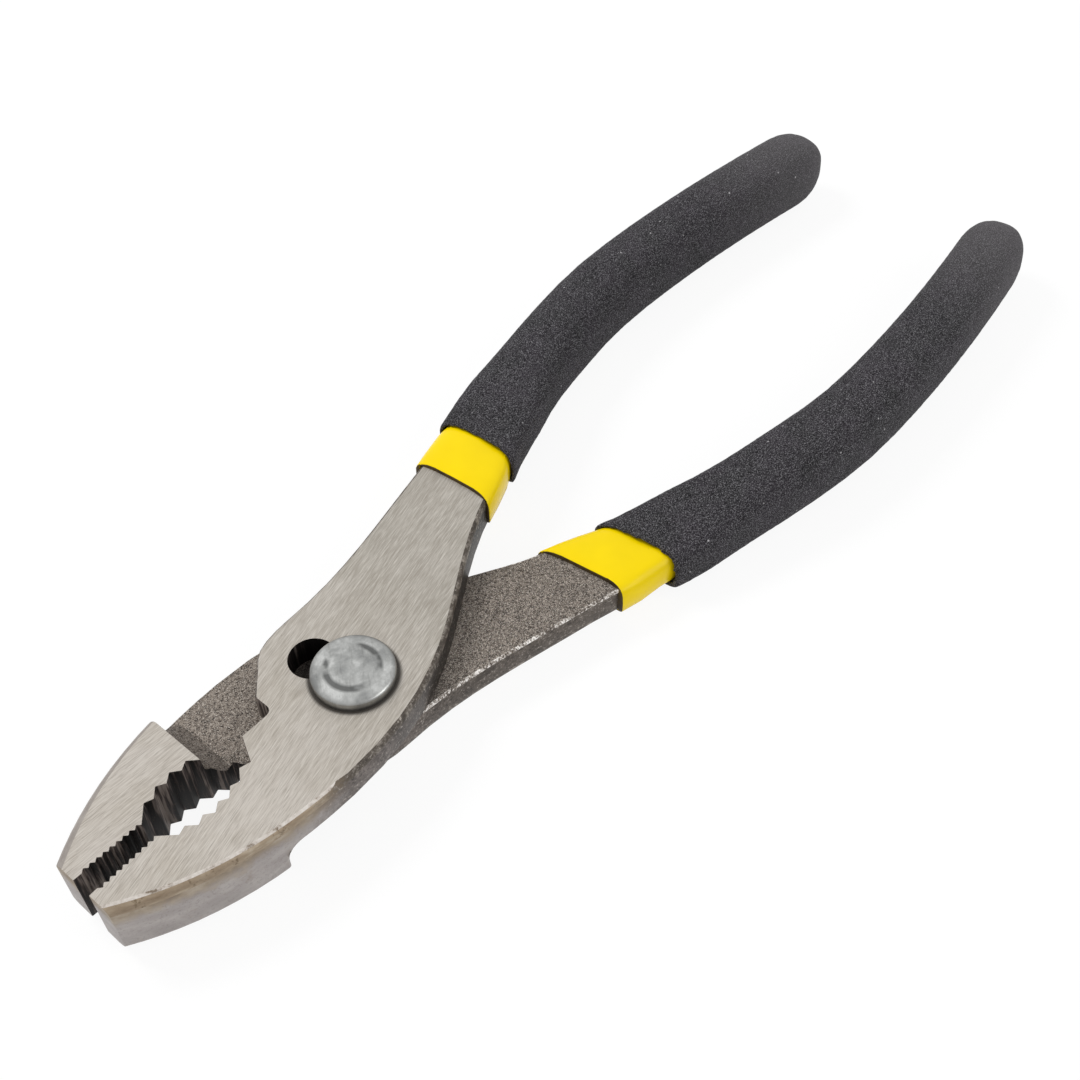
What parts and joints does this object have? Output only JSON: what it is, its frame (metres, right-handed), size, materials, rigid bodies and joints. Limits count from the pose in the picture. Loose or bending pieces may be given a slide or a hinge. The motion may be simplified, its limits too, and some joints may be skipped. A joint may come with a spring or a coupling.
{
  "type": "slip joint pliers",
  "caption": "Slip joint pliers with fine and coarse jaw teeth, a side notch cutter, a domed pivot bolt in a two-position slot, and bowed handles with double-dipped grips.",
  "frame": {"origin": "on the pivot axis, in the plane that the tool lies on: the stud end and the nut's outer face", "axes": "+X from the pivot towards the handles, along the line that mirrors the two levers; +Y towards the handle of the slotted lever; +Z along the pivot axis, towards the bolt head"},
  "size_m": [0.2001, 0.0662, 0.0146],
  "materials": {
    "lever_steel": "ground and brushed on the faces, blasted in the recesses",
    "bolt_steel": "polished",
    "nut_steel": "satin",
    "dip_yellow": "glossy dip",
    "foam_black": "grainy, foam-like"
  },
  "bodies": {
    "lower": {"lower_lever": "lever_steel", "lower_grip_liner": "dip_yellow", "lower_grip_sleeve": "foam_black"},
    "pivot": {"pivot_bolt": "bolt_steel", "pivot_nut": "nut_steel"},
    "upper": {"upper_lever": "lever_steel", "upper_grip_liner": "dip_yellow", "upper_grip_sleeve": "foam_black"}
  },
  "joints": [
    {"name": "jaw_pivot", "type": "hinge", "parent": "lower", "child": "pivot", "pos_m": [0, 0, 0], "axis": [0, 0, 1], "range_deg": [-3.8, 100]},
    {"name": "slip", "type": "slide", "parent": "pivot", "child": "upper", "axis": [0.2504, -0.9681, 0], "range_m": [0, 0.007]}
  ]
}
